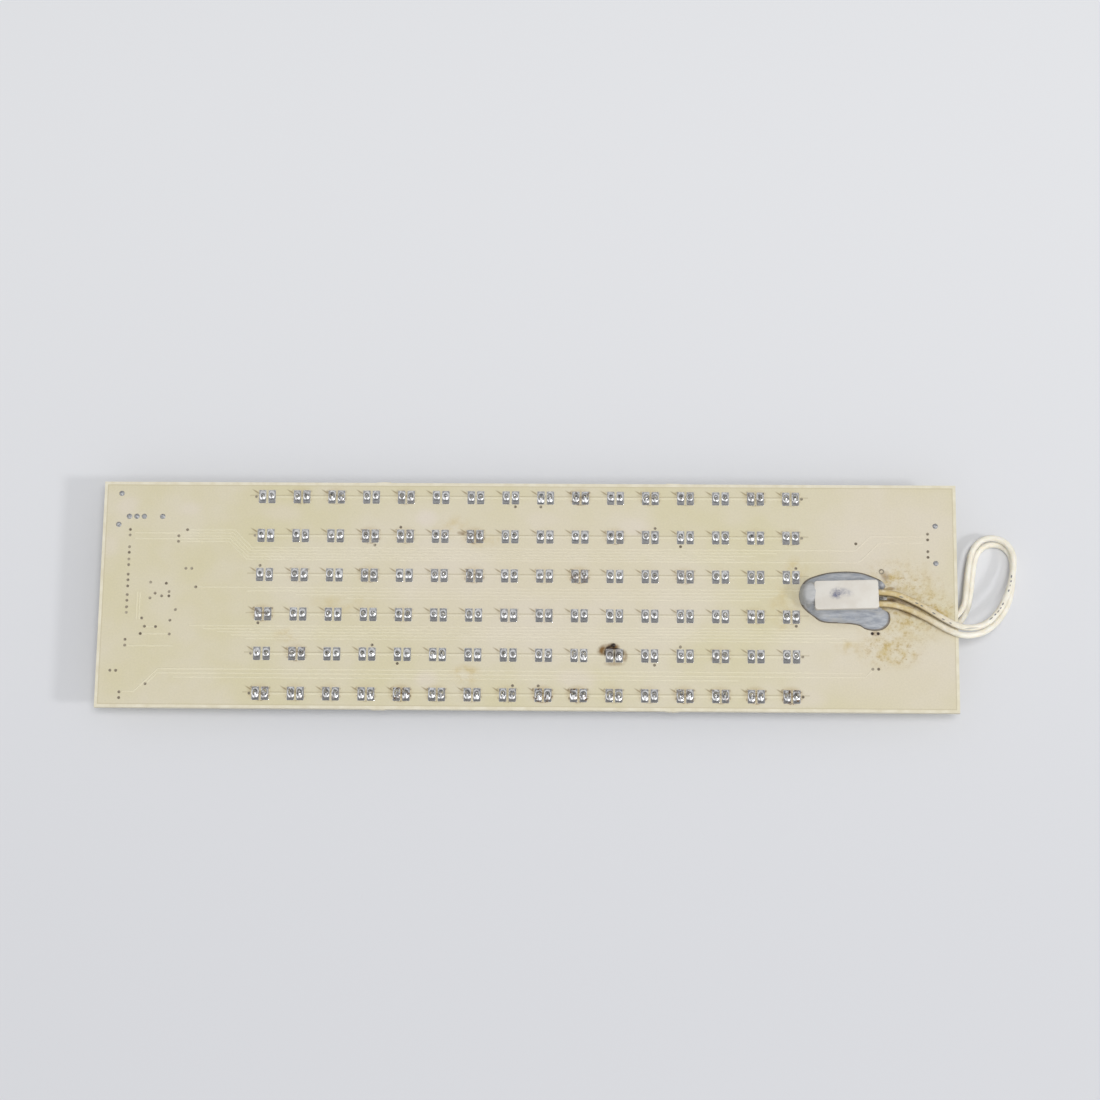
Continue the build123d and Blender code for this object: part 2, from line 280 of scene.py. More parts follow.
charred = [
    (23.4, -14.9, 1.5, 0.7, 25, 1.0), (24.8, -15.2, 2.6, 0.4, 0, 1.0), (25.0, -17.0, 0.3, 2.3, 0, 1.0),
    (22.4, -16.4, 0.4, 1.5, 0, 0.9), (27.6, -16.4, 0.3, 1.3, 0, 0.7), (24.3, -14.3, 0.9, 0.6, 20, 0.9),
    (103.2, -0.7, 2.6, 0.5, -4, 0.7),
]
scorched_rims = [(98.7, -10.4, 3.0, 2.0, 0, 1.0)]
scorched_joint = [(24.6, -16.2, 3.4, 3.0, 0, 0.4)]
ink_smudge = [(87.6, 0.2, 2.7, 2.2, 20, 1.0), (89.4, 0.6, 3.8, 1.7, -10, 0.5)]
# Paler patch on the left lump: partly its own neutral grey, partly painted light lifting its shaded side
lump_tone_and_light = [(80.0, 0.8, 4.0, 5.0, 0, 0.7)]
ink_ticks = [
    (131.3, -5.7, 0.9, 0.2, 40, 1), (132.6, -4.4, 0.5, 0.22, 48, 1), (133.5, -3.4, 0.6, 0.2, 50, 1),
    (134.3, -2.3, 0.4, 0.2, 55, 1), (135.0, -1.0, 0.6, 0.22, 60, 1), (136.9, 3.2, 0.5, 0.26, 65, 1),
    (137.4, 4.8, 0.4, 0.2, 68, 0.7), (137.7, 6.1, 0.4, 0.26, 75, 1), (137.9, 7.6, 0.6, 0.24, 80, 1),
    (105.8, -0.3, 0.8, 0.2, -14, 0.8), (110.2, -2.0, 0.6, 0.2, -24, 0.9), (111.6, -2.7, 0.5, 0.2, -26, 0.9),
    (115.0, -4.8, 0.7, 0.2, -32, 0.9), (117.6, -6.5, 0.6, 0.2, -32, 0.8), (119.6, -7.6, 0.5, 0.2, -30, 0.8),
    (137.5, 12.0, 0.7, 0.2, 90, 0.6), (137.3, 14.0, 0.5, 0.2, 100, 0.5), (125.6, -8.9, 2.6, 0.16, 6, 0.6),
]

# Burnt flux round the two pads of a lamp, from the lamp's centre
burnt_flux = [
    (-2.6, 1.7, 0.8, 0.6, 30, 1.0), (0.0, 0.4, 0.35, 2.2, 0, 1.0), (2.5, 1.6, 0.6, 0.6, 0, 0.8),
    (0.0, -2.0, 1.6, 0.35, 0, 0.8), (-2.6, -0.8, 0.4, 0.8, 0, 0.7), (2.6, -0.6, 0.4, 0.9, 0, 0.7),
]


def lamp_x(column):
    return (column - (column_count - 1) / 2) * column_pitch


def lamp_y(row):
    return ((row_count - 1) / 2 - row) * row_pitch


def linear(level):
    """The linear value of one of a colour's three levels of 255."""
    share = level / 255
    return share / 12.92 if share <= 0.04045 else ((share + 0.055) / 1.055) ** 2.4


class Shading:
    """Builds the nodes of a material or of the world, with coordinates in millimetres."""

    def __init__(self, owner, shader="Principled BSDF"):
        owner.use_nodes = True
        self.owner = owner
        self.tree = owner.node_tree
        self.shader = self.tree.nodes[shader]

    def put(self, socket, value):
        if isinstance(value, bpy.types.NodeSocket):
            self.tree.links.new(value, socket)
        elif socket.type == "RGBA":
            socket.default_value = (*map(linear, value), 1.0)
        else:
            socket.default_value = value

    def add(self, kind, inputs, output=0, **settings):
        made = self.tree.nodes.new(kind)
        for key, value in settings.items():
            setattr(made, key, value)
        for key, value in inputs.items():
            self.put(made.inputs[key], value)
        return made.outputs[output]

    def finish(self, **sockets):
        for name, value in sockets.items():
            self.put(self.shader.inputs[name.replace("_", " ")], value)
        return self.owner

    def vector(self, operation, first, second=(0, 0, 0)):
        output = 1 if operation in ("LENGTH", "DOT_PRODUCT") else 0
        return self.add("ShaderNodeVectorMath", {0: first, 1: second}, output, operation=operation)

    def math(self, operation, first, second=0.0, clamp=False):
        return self.add("ShaderNodeMath", {0: first, 1: second}, operation=operation, use_clamp=clamp)

    def product(self, first, *others):
        for other in others:
            first = self.math("MULTIPLY", first, other)
        return first

    def place(self):
        spot = self.add("ShaderNodeTexCoord", {}, "Object")
        return self.vector("MULTIPLY", spot, (1 / MM, 1 / MM, 1 / MM))

    def flat_place(self):
        return self.vector("MULTIPLY", self.place(), (1, 1, 0))

    def part(self, vector, axis):
        return self.add("ShaderNodeSeparateXYZ", {0: vector}, axis)

    def rise(self, place):
        """Height over the soldered face of the board."""
        return self.math("SUBTRACT", self.part(place, "Z"), back_z)

    def ramp(self, value, low, high, to_low=0.0, to_high=1.0):
        ends = {"Value": value, "From Min": low, "From Max": high, "To Min": to_low, "To Max": to_high}
        return self.add("ShaderNodeMapRange", ends, interpolation_type="SMOOTHSTEP")

    def noise(self, vector, feature, detail, roughness=0.55):
        sockets = {"Vector": vector, "Scale": 1 / feature, "Detail": detail, "Roughness": roughness}
        return self.add("ShaderNodeTexNoise", sockets, "Fac")

    def cloud(self, vector, feature, detail, low, high, to_low=0.0, to_high=1.0, roughness=0.55):
        """Noise with features of a given size, spread from one level of it to another."""
        return self.ramp(self.noise(vector, feature, detail, roughness), low, high, to_low, to_high)

    def mix(self, first, second, factor, blend="MIX"):
        sockets = {0: factor, 6: first, 7: second}
        return self.add("ShaderNodeMix", sockets, 2, data_type="RGBA", blend_type=blend)

    def coats(self, tone, *coats):
        """Lays coats over a tone, each given as its colour and how much of it shows."""
        for coat, share in coats:
            tone = self.mix(tone, coat, share)
        return tone

    def spot(self, vector, centre, radii, turn, core):
        """1 inside the core of an ellipse, falling to 0 at its rim."""
        sockets = {
            "Vector": vector,
            "Location": (*centre, 0),
            "Rotation": (0, 0, math.radians(turn)),
            "Scale": (*radii, 1),
        }
        local = self.add("ShaderNodeMapping", sockets, vector_type="TEXTURE")
        return self.ramp(self.vector("LENGTH", local), core, 1.0, 1.0, 0.0)

    def spots(self, vector, table, core=0.2):
        """The strongest of several spots: x, y, radius across, radius along, turn and strength."""
        total = 0.0
        for x, y, across, along, turn, strength in table:
            spot = self.spot(vector, (x, y), (across, along), turn, core)
            total = self.math("MAXIMUM", total, self.product(spot, strength))
        return total

    def lamp_cell(self, vector):
        """The number of the lamp cell that a point lies in, and its place from the cell's lamp."""
        share = self.vector("DIVIDE", vector, (column_pitch, row_pitch, 1))
        index = self.vector("FLOOR", self.vector("ADD", share, (1.0, 1.0, 0)))
        local = self.vector("ADD", self.vector("SUBTRACT", share, index), (0.5, 0.5, 0))
        return index, self.vector("MULTIPLY", local, (column_pitch, row_pitch, 1))

    def flux_level(self, index):
        """How much burnt flux a lamp cell has: more in the lowest row, and different from lamp to lamp."""
        lowest = self.math("LESS_THAN", self.part(index, "Y"), -1.5)
        draw = self.add("ShaderNodeTexWhiteNoise", {"Vector": index}, "Value")
        level = self.ramp(draw, 0.45, 1.0, 0.12, 0.75)
        return self.math("ADD", level, self.product(lowest, 0.35), clamp=True)

    def bump(self, height, distance):
        sockets = {"Height": height, "Distance": distance * MM, "Strength": 1.0}
        return self.add("ShaderNodeBump", sockets, "Normal")


def new_material(name):
    return Shading(bpy.data.materials.new(name))


# Layers of the solder mask's colour
def heat_stains(paint, place, tone):
    """Pale and amber stains."""
    mottle = paint.cloud(place, 3.2, 6, 0.35, 0.7, roughness=0.65)
    return paint.coats(
        tone,
        ((222, 212, 200), paint.product(paint.spots(place, pale_stains), 0.75)),
        ((196, 174, 112), paint.product(paint.spots(place, amber_stains), mottle)),
    )


def flux_marks(paint, place, tone):
    """Flux round the joints of each lamp: a halo, burnt crusts, a streak of flux and painted shadow of the
    clipped lead, and a line of painted shade along the row trace's upper edge.
    """
    index, local = paint.lamp_cell(place)
    level = paint.flux_level(index)
    inside = paint.math("LESS_THAN", paint.math("ABSOLUTE", paint.part(place, "X")), grid_half)
    halo = paint.spot(local, (-0.2, 0.3), (4.3, 3.3), 0, 0.45)
    # Streak up-left of the left pad: brown flux, darkened as a painted shadow of the clipped lead
    streak = paint.spot(local, (-3.2, 1.45), (1.9, 0.34), -32, 0.15)
    # Painted shade: a dark line along the upper edge of each row's trace
    from_line = paint.math("ABSOLUTE", paint.math("SUBTRACT", paint.part(local, "Y"), 0.35))
    line = paint.ramp(from_line, 0.05, 0.3, 0.4, 0.0)
    crusts = paint.product(paint.spots(local, burnt_flux, 0.3), paint.cloud(place, 0.7, 4, 0.4, 0.58))
    return paint.coats(
        tone,
        ((178, 154, 106), paint.product(halo, level, inside, 0.45)),
        ((138, 118, 82), paint.product(streak, inside, 0.7)),
        ((160, 146, 112), paint.product(line, inside)),
        ((98, 72, 38), paint.product(crusts, inside, level)),
    )


def mask_edge_shade(paint, place, tone):
    """Painted shade: a darker line where the mask ends."""
    end = (half_length - border, half_width - border, 0)
    past = paint.vector("SUBTRACT", paint.vector("ABSOLUTE", place), end)
    furthest = paint.math("MAXIMUM", paint.part(past, "X"), paint.part(past, "Y"))
    return paint.mix(tone, (192, 181, 150), paint.ramp(furthest, -0.4, -0.1, 0.0, 0.55))


def burns(paint, place, tone):
    """Brown and charred spots, and dirt in the stains beside the thermal cut-out."""
    patchy = paint.cloud(place, 1.1, 4, 0.3, 0.6, 0.5, 1.0)
    specks = paint.cloud(place, 0.6, 2, 0.6, 0.74, 0.0, 0.75)
    crumbs = paint.cloud(place, 1.6, 4, 0.5, 0.72, 0.0, 0.55, roughness=0.7)
    dirt = paint.math("MAXIMUM", specks, crumbs)
    return paint.coats(
        tone,
        ((122, 90, 46), paint.product(paint.spots(place, brown_stains, 0.35), patchy)),
        ((46, 31, 18), paint.spots(place, charred, 0.3)),
        ((164, 132, 72), paint.product(dirt, paint.spots(place, cutout_stains, 0.4))),
    )


def mask_material(name, first, second):
    """Cream solder mask, aged and dirty, with painted shade and a painted shadow among its marks."""
    paint = new_material(name)
    place = paint.flat_place()
    tone = paint.mix(first, second, paint.cloud(place, 28, 4, 0.35, 0.68))
    for layer in (heat_stains, flux_marks, mask_edge_shade, burns):
        tone = layer(paint, place, tone)
    grain = paint.cloud(place, 0.5, 3, 0.3, 0.7, 0.97, 1.02)
    waves = paint.noise(place, 1.4, 4)
    return paint.finish(
        Base_Color=paint.mix(tone, grain, 1.0, "MULTIPLY"),
        Roughness=paint.ramp(waves, 0.3, 0.7, 0.38, 0.52),
        Normal=paint.bump(waves, 0.012),
    )


def front_mask_material():
    """The same mask on the lamp side, clean."""
    paint = new_material("front_mask")
    place = paint.place()
    return paint.finish(
        Base_Color=paint.mix((214, 207, 178), (219, 212, 188), paint.cloud(place, 28, 4, 0.35, 0.68)),
        Roughness=0.45,
        Normal=paint.bump(paint.noise(place, 1.4, 4), 0.012),
    )


def rim_material():
    """Aged rims of the plated holes, scorched at the pair beside the thermal cut-out."""
    paint = new_material("aged_rims")
    place = paint.flat_place()
    worn = paint.cloud(place, 2.2, 4, 0.3, 0.7)
    scorch = paint.spots(place, scorched_rims, 0.6)
    tone = paint.coats((176, 167, 148), ((108, 97, 80), worn), ((40, 24, 14), scorch))
    return paint.finish(Base_Color=tone, Roughness=0.4, Specular_IOR_Level=0.7)


def laminate_material():
    """Bare laminate at the border and on the sawn edges, with its glass cloth."""
    paint = new_material("bare_laminate")
    stretched = paint.vector("MULTIPLY", paint.place(), (0.25, 0.25, 6.0))
    fibres = paint.cloud(stretched, 0.9, 3, 0.3, 0.7)
    tone = paint.mix((230, 224, 204), (219, 211, 186), fibres)
    return paint.finish(Base_Color=tone, Roughness=0.6, Normal=paint.bump(fibres, 0.02))


def solder_material():
    """Tin-lead solder, dulled in patches, with flux low on the dirtier joints and grey cut leads."""
    paint = new_material("solder")
    place = paint.place()
    flat = paint.flat_place()
    rise = paint.rise(place)
    index, _ = paint.lamp_cell(flat)
    dull = paint.cloud(place, 0.6, 4, 0.35, 0.7)
    low = paint.ramp(rise, 0.1, 0.75, 1.0, 0.15)
    brown = paint.product(low, paint.cloud(place, 0.9, 3, 0.48, 0.66), paint.flux_level(index))
    brown = paint.math("MAXIMUM", brown, paint.spots(flat, scorched_joint))
    cut = paint.ramp(rise, 1.25, 1.4, 0.0, 0.65)
    rough = paint.ramp(dull, 0.0, 1.0, 0.12, 0.24)
    return paint.finish(
        Base_Color=paint.coats(
            (222, 222, 222), ((184, 184, 186), dull), ((96, 70, 40), brown), ((96, 92, 86), cut)
        ),
        Metallic=1.0,
        Roughness=paint.math("ADD", rough, paint.product(brown, 0.4)),
        Normal=paint.bump(paint.noise(place, 0.5, 2), 0.012),
    )


def metal_material(name, bright, dark, feature, roughness):
    paint = new_material(name)
    worn = paint.cloud(paint.place(), feature, 4, 0.35, 0.7)
    rough = paint.ramp(worn, 0.0, 1.0, roughness, roughness + 0.2)
    return paint.finish(Base_Color=paint.mix(bright, dark, worn), Metallic=1.0, Roughness=rough)


def moulded_material(name, first, second, feature, roughness, relief=0.015):
    paint = new_material(name)
    place = paint.place()
    fine = paint.noise(place, feature / 8, 3)
    return paint.finish(
        Base_Color=paint.mix(first, second, paint.cloud(place, feature, 4, 0.3, 0.7)),
        Roughness=paint.ramp(fine, 0.3, 0.7, roughness - 0.06, roughness + 0.08),
        Normal=paint.bump(fine, relief),
    )


def case_material():
    """White case with rubbed ink in the middle, and painted shade darkening its walls towards the board."""
    paint = new_material("cutout_white")
    place = paint.place()
    cloudy = paint.cloud(place, 4, 4, 0.3, 0.7)
    rubbed = paint.cloud(place, 0.8, 5, 0.3, 0.66, 0.15, 1.0)
    ink = paint.product(paint.spots(paint.flat_place(), ink_smudge), rubbed)
    # Painted shade: the case's walls darken towards the board
    low_wall_shade = paint.ramp(paint.rise(place), 1.5, 4.5, 0.85, 0.0)
    return paint.finish(
        Base_Color=paint.coats(
            (224, 220, 212), ((216, 210, 200), cloudy), ((104, 108, 134), ink), ((128, 116, 96), low_wall_shade)
        ),
        Roughness=0.42,
        Normal=paint.bump(paint.noise(place, 0.5, 3), 0.012),
    )


def adhesive_material():
    """Grey heat-conducting adhesive, streaked by the tool that spread it and browned at its rim, with a
    paler patch on its left lump that is partly its own grey and partly painted light.
    """
    paint = new_material("grey_adhesive")
    place = paint.place()
    streaks = paint.noise(paint.vector("MULTIPLY", place, (0.35, 1.6, 1.0)), 1.0, 5, 0.6)
    tone = paint.coats(
        (146, 151, 160),
        ((179, 182, 187), paint.ramp(streaks, 0.32, 0.68)),
        ((172, 171, 169), paint.product(paint.cloud(place, 3.0, 3, 0.5, 0.72), 0.7)),
        # Paler patch on the left lump, partly painted light
        ((194, 193, 190), paint.spots(paint.flat_place(), lump_tone_and_light)),
        ((96, 82, 58), paint.ramp(paint.rise(place), 0.08, 0.36, 0.9, 0.0)),
    )
    return paint.finish(Base_Color=tone, Roughness=0.55, Normal=paint.bump(streaks, 0.12))


def wire_material():
    """Cream insulation, ambered where it leaves the hot case, with painted shade on its lower sides there
    and worn ink ticks.
    """
    paint = new_material("wire_cream")
    place = paint.place()
    near = paint.ramp(paint.part(place, "X"), 106.0, 126.0, 0.95, 0.0)
    facing = paint.part(paint.add("ShaderNodeNewGeometry", {}, "Normal"), "Z")
    upper = paint.math("GREATER_THAN", facing, 0.2)
    tone = paint.coats(
        (243, 239, 227),
        ((235, 229, 213), paint.cloud(place, 3.0, 4, 0.35, 0.7)),
        ((200, 179, 126), paint.product(near, paint.cloud(place, 1.6, 4, 0.3, 0.62, 0.6, 1.0))),
        # Painted shade: near the case, the sides and undersides that don't face up are darker
        ((122, 94, 50), paint.product(near, paint.ramp(facing, 0.1, 0.8, 0.85, 0.0))),
        ((110, 112, 118), paint.product(paint.spots(paint.flat_place(), ink_ticks, 0.55), upper)),
    )
    return paint.finish(
        Base_Color=tone,
        Roughness=0.45,
        Subsurface_Weight=0.35,
        Subsurface_Radius=(1.0, 0.9, 0.7),
        Subsurface_Scale=0.9 * MM,
        Normal=paint.bump(paint.noise(place, 0.7, 3), 0.02),
    )


def lens_material():
    """Clear epoxy of the lamps, slightly hazy."""
    paint = new_material("clear_epoxy")
    haze = paint.noise(paint.place(), 2.5, 3)
    return paint.finish(
        Base_Color=paint.mix((250, 251, 251), (243, 246, 247), haze),
        Roughness=paint.ramp(haze, 0.3, 0.7, 0.03, 0.07),
        Transmission_Weight=0.9,
        IOR=1.5,
    )


mask_back = mask_material("solder_mask", (212, 204, 171), (217, 209, 187))
mask_front = front_mask_material()
mask_trace = mask_material("mask_over_copper", (221, 214, 184), (225, 218, 195))
laminate = laminate_material()
solder = solder_material()
tinned = metal_material("tinned_copper", (190, 188, 184), (130, 124, 116), 0.8, 0.25)
aged_rim = rim_material()
dull_tin = metal_material("dull_tin", (198, 199, 201), (150, 151, 155), 0.5, 0.55)
brass = metal_material("pin_brass", (222, 200, 140), (190, 164, 104), 1.2, 0.2)
scorched = moulded_material("scorched_flux", (20, 16, 13), (58, 40, 24), 0.8, 0.3, 0.03)
black = moulded_material("black_moulding", (38, 38, 40), (52, 52, 54), 1.5, 0.5)
potting = moulded_material("dark_potting", (44, 42, 40), (74, 68, 60), 1.0, 0.6, 0.06)
ceramic = moulded_material("resistor_body", (30, 30, 34), (46, 46, 50), 0.8, 0.4)
phosphor = moulded_material("phosphor", (226, 206, 84), (214, 190, 70), 0.5, 0.6)
white_case = case_material()
grey_adhesive = adhesive_material()
cream_wire = wire_material()
clear_epoxy = lens_material()


# Ways of making a mesh
def link(name, data):
    made = bpy.data.objects.new(name, data)
    scene.collection.objects.link(made)
    return made


def add_piece(name, shape, materials, slot, replaced=(), sharp=35):
    """Makes a piece that rides on the board from a mesh in millimetres."""
    bmesh.ops.scale(shape, vec=(MM, MM, MM), verts=shape.verts)
    mesh = bpy.data.meshes.new(name)
    shape.to_mesh(mesh)
    shape.free()
    mesh.shade_smooth()
    mesh.set_sharp_from_angle(angle=math.radians(sharp))
    for material in materials:
        mesh.materials.append(material)
    piece = link(name, mesh)
    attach(piece, "root")
    if replaced:
        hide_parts(*replaced)


def close_rings(shape, rings, material=0, hollow=False):
    """Skins rings of as many points each into a closed surface, capped or, if hollow, joined end to end."""
    made = [[shape.verts.new(point) for point in ring] for ring in rings]
    faces = []
    for lower, upper in zip(made, made[1:] + made[:1] if hollow else made[1:]):
        for here in range(len(lower)):
            after = (here + 1) % len(lower)
            faces.append(shape.faces.new((lower[here], lower[after], upper[after], upper[here])))
    if not hollow:
        faces.append(shape.faces.new(made[0][::-1]))
        faces.append(shape.faces.new(made[-1]))
    for face in faces:
        face.material_index = material


def turned(shape, centre, profile, sides, down=False, flat=math.inf, material=0, hollow=False):
    """A form turned from a profile of radius and height, hanging down or cut by a flat side if asked."""
    sense = -1 if down else 1
    rings = []
    for radius, height in profile:
        ring = []
        for step in range(sides):
            angle = sense * 2 * math.pi * step / sides
            x = min(radius * math.cos(angle), flat)
            ring.append((centre[0] + x, centre[1] + radius * math.sin(angle), centre[2] + sense * height))
        rings.append(ring)
    close_rings(shape, rings, material, hollow)


def block(shape, low, high, bevel, material=0):
    """A box with rounded edges."""
    verts = bmesh.ops.create_cube(shape, size=1.0)["verts"]
    bmesh.ops.scale(shape, vec=Vector(high) - Vector(low), verts=verts)
    bmesh.ops.translate(shape, vec=(Vector(high) + Vector(low)) / 2, verts=verts)
    for face in {face for vert in verts for face in vert.link_faces}:
        face.material_index = material
    edges = list({edge for vert in verts for edge in vert.link_edges})
    settings = {"segments": 2, "profile": 0.5, "affect": "EDGES", "material": material}
    bmesh.ops.bevel(shape, geom=edges, offset=bevel, **settings)


def cad_copy(node):
    """A welded copy of a CAD node's mesh, in millimetres, with its flat faces whole."""
    shape = bmesh.new()
    shape.from_mesh(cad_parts[node].data)
    bmesh.ops.scale(shape, vec=(1 / MM, 1 / MM, 1 / MM), verts=shape.verts)
    bmesh.ops.remove_doubles(shape, verts=shape.verts, dist=weld_distance)
    bmesh.ops.dissolve_limit(shape, angle_limit=flat_angle, verts=shape.verts, edges=shape.edges)
    return shape


def separate_groups(faces):
    """Splits faces into groups that share edges, and gives the box round each group."""
    waiting = set(faces)
    while waiting:
        group = [waiting.pop()]
        for face in group:
            near = {other for edge in face.edges for other in edge.link_faces} & waiting
            waiting -= near
            group.extend(near)
        along_axes = list(zip(*(vert.co for face in group for vert in face.verts)))
        yield Vector([min(places) for places in along_axes]), Vector([max(places) for places in along_axes])


def circle(x, y, radius):
    angles = [2 * math.pi * step / hole_sides for step in range(hole_sides)]
    return [(x + radius * math.cos(angle), y + radius * math.sin(angle)) for angle in angles]


def plate(outline, holes, low, high):
    """A flat plate with holes, as a mesh."""
    curve = bpy.data.curves.new("plate", "CURVE")
    curve.dimensions = "2D"
    curve.fill_mode = "BOTH"
    curve.extrude = (high - low) / 2
    for loop in [outline, *holes]:
        spline = curve.splines.new("POLY")
        spline.points.add(len(loop) - 1)
        for point, (x, y) in zip(spline.points, loop):
            point.co = (x, y, 0, 1)
        spline.use_cyclic_u = True
    helper = bpy.data.objects.new("plate", curve)
    mesh = bpy.data.meshes.new_from_object(helper)
    shape = bmesh.new()
    shape.from_mesh(mesh)
    bmesh.ops.translate(shape, vec=(0, 0, (high + low) / 2), verts=shape.verts)
    bmesh.ops.remove_doubles(shape, verts=shape.verts, dist=weld_distance)
    bmesh.ops.recalc_face_normals(shape, faces=shape.faces)
    bpy.data.objects.remove(helper)
    bpy.data.curves.remove(curve)
    bpy.data.meshes.remove(mesh)
    return shape


def strip(shape, points, width, low, high):
    """A flat strip along a line of points, its sides sloping a little."""
    slope = high - low
    rings = []
    for number, point in enumerate(points):
        here = Vector(point)
        before = Vector(points[max(number - 1, 0)])
        after = Vector(points[min(number + 1, len(points) - 1)])
        arriving = (here - before).normalized() if number else (after - here).normalized()
        leaving = (after - here).normalized() if number < len(points) - 1 else arriving
        along = (arriving + leaving).normalized()
        across = Vector((-along.y, along.x)) / max(along.dot(arriving), 0.5)
        foot = across * (width / 2)
        crest = across * (width / 2 - slope)
        ring = [here - foot, here + foot, here + crest, here - crest]
        rings.append([(*corner, level) for corner, level in zip(ring, (low, low, high, high))])
    close_rings(shape, rings)


# Board: laminate, solder mask on both faces and the rims of its plated holes
def hole_places():
    """Centres and widths of the holes through the CAD board."""
    def is_wall(face):
        middle = face.calc_center_median()
        within = abs(middle.x) < half_length - border and abs(middle.y) < half_width - border
        return within and abs(face.normal.z) < upright_slope

    shape = cad_copy("circuit_board")
    places = {}
    for low, high in separate_groups(face for face in shape.faces if is_wall(face)):
        centre = (low + high) / 2
        places[(round(centre.x, 3), round(centre.y, 3))] = high.x - low.x
    shape.free()
    return dict(sorted(places.items()))


def board_outline():
    """The sawn outline, with the ragged stubs of the panel tabs."""
    points = []
    for side in (-1, 1):
        for tab in (side * snap_x, -side * snap_x):
            for step in range(snap_steps + 1):
                x = tab - side * (step / snap_steps - 0.5) * snap_length
                ragged = snap_stub * chance.uniform(*snap_ragged) if 0 < step < snap_steps else 0.0
                points.append((x, side * (half_width + ragged)))
        points.append((-side * half_length, side * half_width))
        points.append((-side * half_length, -side * half_width))
    return points


def build_board():
    places = hole_places()
    holes = [circle(x, y, width / 2) for (x, y), width in places.items()]
    sawn_plate = plate(board_outline(), holes, front_z, back_z)
    add_piece("board_laminate", sawn_plate, [laminate], "board", ["circuit_board"])
    mask_outline = [(x * (half_length - border), y * (half_width - border)) for x, y in corner_signs]
    mask_holes = [circle(x, y, width / 2 + mask_clearance) for (x, y), width in places.items()]
    back_plate = plate(mask_outline, mask_holes, back_z, back_z + mask_height)
    add_piece("mask_back", back_plate, [mask_back], "board")
    front_plate = plate(mask_outline, mask_holes, front_z - mask_height, front_z)
    add_piece("mask_front", front_plate, [mask_front], "board")
    build_hole_rims(places)


def build_hole_rims(places):
    """The rims of each hole on both faces, what fills it, and one ring that stands alone."""
    shape = bmesh.new()
    for (x, y), width in places.items():
        inner = width / 2 - ring_wall
        outer = width / 2 + ring_width
        rim = [(inner, -ring_depth), (outer, 0.0), (outer - ring_slope, ring_height),
               (inner + ring_round, ring_height), (inner, 0.0)]
        turned(shape, (x, y, back_z + mask_height), rim, hole_sides, hollow=True)
        turned(shape, (x, y, front_z - mask_height), rim, hole_sides, down=True, hollow=True)
        pressed = inner + plug_press
        plug = [(pressed, plug_bottom), (pressed, plug_level), (inner / 2, plug_dip), plug_middle]
        turned(shape, (x, y, back_z), plug, hole_sides)
    turned(shape, (*lone_ring, back_z + mask_height), lone_ring_profile, hole_sides, hollow=True)
    add_piece("hole_rims", shape, [aged_rim], "tinned_metal")


def build_traces():
    """The copper under the mask on the soldered side, and the runs that join the pads of a row."""
    shape = bmesh.new()
    top = back_z + mask_height + trace_height
    for line in other_traces + [[(left, y), (right, y)] for y, left, right in straight_traces]:
        strip(shape, line, trace_width, back_z, top)
    for row in range(row_count):
        for column in range(column_count - 1):
            start = lamp_x(column) + pad_offset + pad_width / 2
            end = lamp_x(column + 1) - pad_offset - pad_width / 2
            strip(shape, [(start, lamp_y(row)), (end, lamp_y(row))], row_trace_width, back_z, top)
    add_piece("traces", shape, [mask_trace], "board")


# Solder joints of the lamps
def pad_rim():
    """Points round the rim of a pad with rounded corners, from its middle."""
    corners = [Vector((sign_x * (pad_width / 2 - pad_corner), sign_y * (pad_length / 2 - pad_corner)))
               for sign_x, sign_y in ((1, 1), (-1, 1), (-1, -1), (1, -1))]
    points = []
    for number, corner in enumerate(corners):
        for step in range(corner_steps + 1):
            angle = math.pi / 2 * (number + step / corner_steps)
            points.append(corner + pad_corner * Vector((math.cos(angle), math.sin(angle))))
        start = points[-1]
        end = start + corners[(number + 1) % len(corners)] - corner
        steps = round((end - start).length / side_step)
        points += [start.lerp(end, step / steps) for step in range(1, steps)]
    return points


def draw_pair(ranges):
    return Vector([chance.uniform(*limits) for limits in ranges])


def solder_joint(shape, rim, x, y, side, kind):
    """One soldered lead: a tinned pad, its fillet and the clipped lead."""
    lead = Vector((side * (lead_offset - pad_offset), 0.0)) + draw_pair(lead_play)
    lean = draw_pair(lead_lean)
    slant = draw_pair(lead_slant)
    fullness = chance.uniform(*kind["fullness"])
    crest = chance.uniform(*kind["crest"])
    across = chance.uniform(*spread_across)
    above = chance.uniform(*spread_above)
    below = chance.uniform(*kind["spread_below"])
    dent = chance.uniform(0, 2 * math.pi)
    top = chance.uniform(*lead_top)
    spokes = [(point - lead).normalized() * lead_radius for point in rim]
    middle = Vector((x, y)) + lead
    rings = []
    for share, swell in pad_rings:
        ring = []
        for point, spoke in zip(rim, spokes):
            offset = spoke.lerp(point - lead, share)
            spread = above if offset.y > 0 else below
            far = min(math.hypot(offset.x / across, offset.y / spread), 1.0)
            near = max(far - lead_share, 0.0) / (1 - lead_share)
            hollow = (1 - near) ** 2
            domed = (1 + math.cos(math.pi * near)) / 2
            lift = crest * (hollow + (domed - hollow) * fullness)
            lift *= 1 + dent_depth * math.cos(2 * math.atan2(offset.y, offset.x) - dent)
            ring.append((*(middle + offset), back_z + swell * (pad_height + lift)))
        rings.append(ring)
    for climb, width in lead_rings:
        ring = []
        for spoke in spokes:
            offset = spoke * width
            cut = slant.dot(offset) if climb > slant_start else 0.0
            level = min(pad_height + crest + (top - crest) * climb + cut, stub_height)
            ring.append((*(middle + offset + lean * climb), back_z + level))
        rings.append(ring)
    close_rings(shape, rings)


def build_joints():
    rim = pad_rim()
    for row in range(row_count):
        shape = bmesh.new()
        for column in range(column_count):
            heavy = row == row_count - 1 or (row, column) in heavy_places
            kind = heavy_joint if heavy else plain_joint
            for side in (-1, 1):
                solder_joint(shape, rim, lamp_x(column) + side * pad_offset, lamp_y(row), side, kind)
        add_piece(f"joints_{row + 1}", shape, [solder], "solder", [f"solder_row_{row + 1}"], sharp=60)


